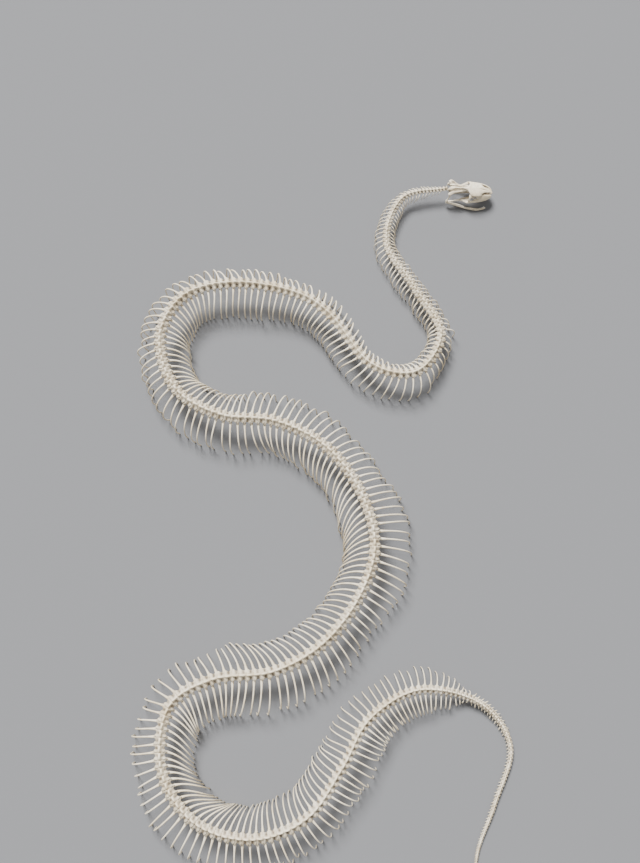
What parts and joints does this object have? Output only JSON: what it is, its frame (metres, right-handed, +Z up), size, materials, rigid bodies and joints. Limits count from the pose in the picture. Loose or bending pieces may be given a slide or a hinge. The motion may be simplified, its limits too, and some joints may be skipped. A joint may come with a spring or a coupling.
{
  "type": "snake skeleton",
  "caption": "Life-size skeleton of a large python laid out in loose bends, with its toothed skull, parted lower jaws, arched ribs standing on the floor and bare tail.",
  "frame": {"origin": "on the floor below the middle of the skeleton's footprint", "axes": "+Z up; +Y along the longest side of the footprint, from the tail's end towards the head's end; +X to the right seen from above, the way the snout points"},
  "size_m": [0.5695, 1.106, 0.0505],
  "materials": {
    "skull_bone": "satin",
    "jaw_bone": "satin",
    "body_bone": "matte",
    "tail_bone": "matte"
  },
  "bodies": {
    "root": {"skull_cranium": "skull_bone", "skull_maxilla_left": "skull_bone", "skull_maxilla_right": "skull_bone", "skull_palate_left": "skull_bone", "skull_palate_right": "skull_bone", "skull_supratemporal_left": "skull_bone", "skull_supratemporal_right": "skull_bone", "skull_quadrate_left": "skull_bone", "skull_quadrate_right": "skull_bone", "mandible_left": "jaw_bone", "mandible_right": "jaw_bone", "neck_left": "body_bone", "neck_right": "body_bone", "trunk_01_left": "body_bone", "trunk_01_right": "body_bone", "trunk_02_left": "body_bone", "trunk_02_right": "body_bone", "trunk_03_left": "body_bone", "trunk_03_right": "body_bone", "trunk_04_left": "body_bone", "trunk_04_right": "body_bone", "trunk_05_left": "body_bone", "trunk_05_right": "body_bone", "trunk_06_left": "body_bone", "trunk_06_right": "body_bone", "trunk_07_left": "body_bone", "trunk_07_right": "body_bone", "trunk_08_left": "body_bone", "trunk_08_right": "body_bone", "trunk_09_left": "body_bone", "trunk_09_right": "body_bone", "trunk_10_left": "body_bone", "trunk_10_right": "body_bone", "trunk_11_left": "body_bone", "trunk_11_right": "body_bone", "trunk_12_left": "body_bone", "trunk_12_right": "body_bone", "tail_1": "tail_bone", "tail_2": "tail_bone", "tail_3": "tail_bone"}
  },
  "joints": []
}
